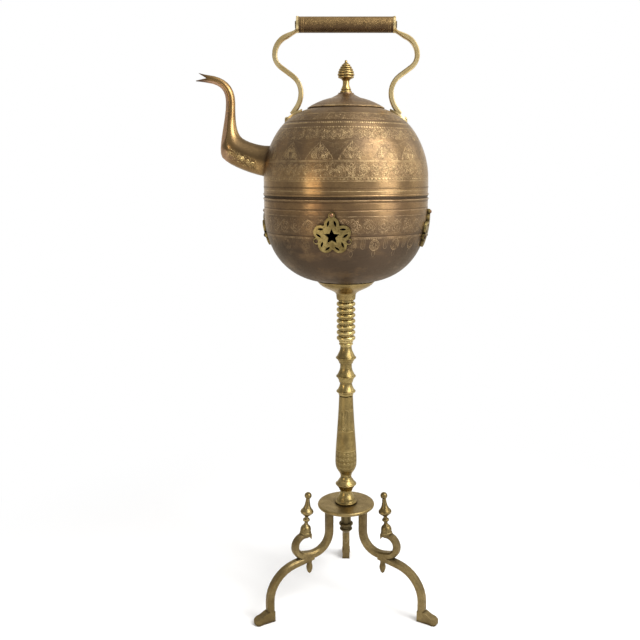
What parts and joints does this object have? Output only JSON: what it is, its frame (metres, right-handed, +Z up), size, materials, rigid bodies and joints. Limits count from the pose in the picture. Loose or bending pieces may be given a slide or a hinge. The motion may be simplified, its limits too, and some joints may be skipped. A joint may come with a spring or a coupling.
{
  "type": "spirit kettle on stand",
  "caption": "Round spirit kettle with hinged lid, beaked spout and bail handle, over a vented burner bowl on a turned column with scroll legs.",
  "frame": {"origin": "on the central axis of column and kettle, at the level of the three soles", "axes": "+Z up along the column, -X toward the spout, -Y toward the front, between the two front legs"},
  "size_m": [0.3259, 0.2618, 0.8197],
  "materials": {
    "patinated_brass": "engraved sheet brass with a brown patina",
    "cast_brass": "cast brass, softly polished",
    "turned_brass": "turned brass, polished ridges and dark grooves",
    "bright_brass": "bright polished brass",
    "sheet_brass": "plain sheet brass, dulled by heat",
    "dark_bronze": "dark engraved sleeve",
    "steel": "plain turned rod",
    "cotton": "woven cotton wick"
  },
  "bodies": {
    "stand": {"base_disc": "cast_brass", "leg_left": "cast_brass", "leg_right": "cast_brass", "leg_rear": "cast_brass", "leg_finial_left": "cast_brass", "leg_finial_right": "cast_brass", "leg_finial_rear": "cast_brass", "bell_foot": "turned_brass", "baluster": "turned_brass", "knop_section": "turned_brass", "ring_section": "turned_brass", "cup": "turned_brass", "tie_rod": "steel", "base_nut": "turned_brass", "bowl_nut": "turned_brass", "bowl": "patinated_brass", "rosette_front": "cast_brass", "rosette_right": "cast_brass", "rosette_rear": "cast_brass", "rosette_left": "cast_brass", "rosette_rivets": "cast_brass", "burner_seat": "sheet_brass"},
    "burner": {"burner_font": "sheet_brass", "burner_collar": "sheet_brass", "burner_wick": "cotton"},
    "kettle": {"kettle_shell": "patinated_brass", "kettle_base": "patinated_brass", "spout": "patinated_brass", "mouth_ring": "sheet_brass", "handle_arm_left": "bright_brass", "handle_arm_right": "bright_brass", "handle_rod": "steel", "grip_sleeve": "dark_bronze", "handle_rivets": "bright_brass", "hinge_bracket": "sheet_brass", "hinge_pin": "steel"},
    "lid": {"lid_dome": "patinated_brass", "lid_flange": "sheet_brass", "lid_finial": "bright_brass", "finial_nut": "bright_brass", "hinge_leaf": "sheet_brass"}
  },
  "joints": [
    {"name": "kettle_lift", "type": "slide", "parent": "stand", "child": "kettle", "axis": [0, 0, 1], "range_m": [0, 0.155]},
    {"name": "lid_hinge", "type": "hinge", "parent": "kettle", "child": "lid", "pos_m": [0, 0.0538, 0.7054], "axis": [-1, 0, 0], "range_deg": [0, 100]},
    {"name": "burner_lift", "type": "slide", "parent": "stand", "child": "burner", "axis": [0, 0, 1], "range_m": [0, 0.038]}
  ]
}
